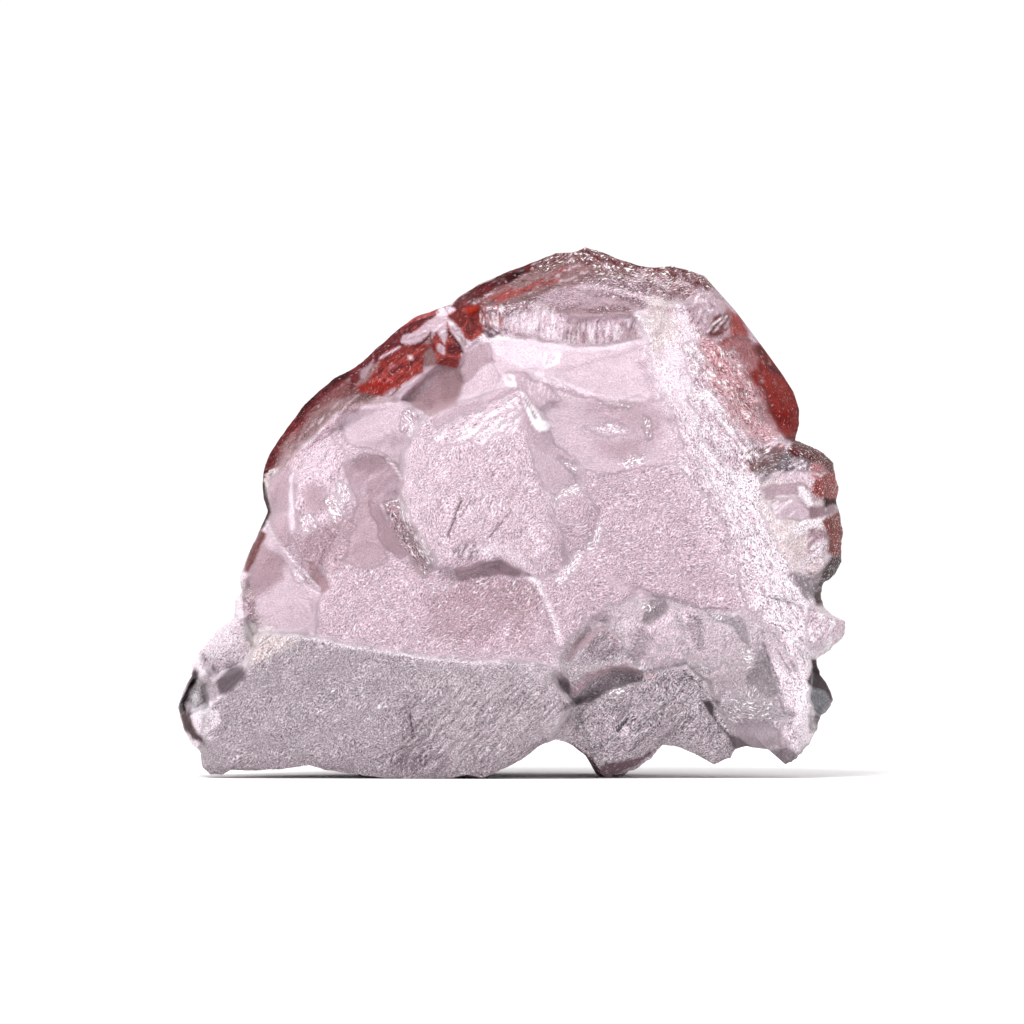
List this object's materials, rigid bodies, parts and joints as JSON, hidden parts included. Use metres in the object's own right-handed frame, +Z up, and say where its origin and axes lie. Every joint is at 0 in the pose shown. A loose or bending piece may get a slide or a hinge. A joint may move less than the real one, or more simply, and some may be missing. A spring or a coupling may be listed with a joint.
{
  "type": "red quartz specimen",
  "caption": "Palm-size rough quartz: milky pink-white broken face with ledges and a nodule, iron-red skin on its rim and natural faces, standing on a flat base.",
  "frame": {"origin": "bottom centre of the stone's box, on the surface that it stands on", "axes": "+X to the right as the broken face is looked at, -Y out of the broken face, +Z up"},
  "size_m": [0.0833, 0.0496, 0.0661],
  "materials": {
    "quartz": "rough broken milky quartz, with an iron-red skin on the rim and the natural faces"
  },
  "bodies": {
    "root": {"red_quartz": "quartz"}
  },
  "joints": []
}
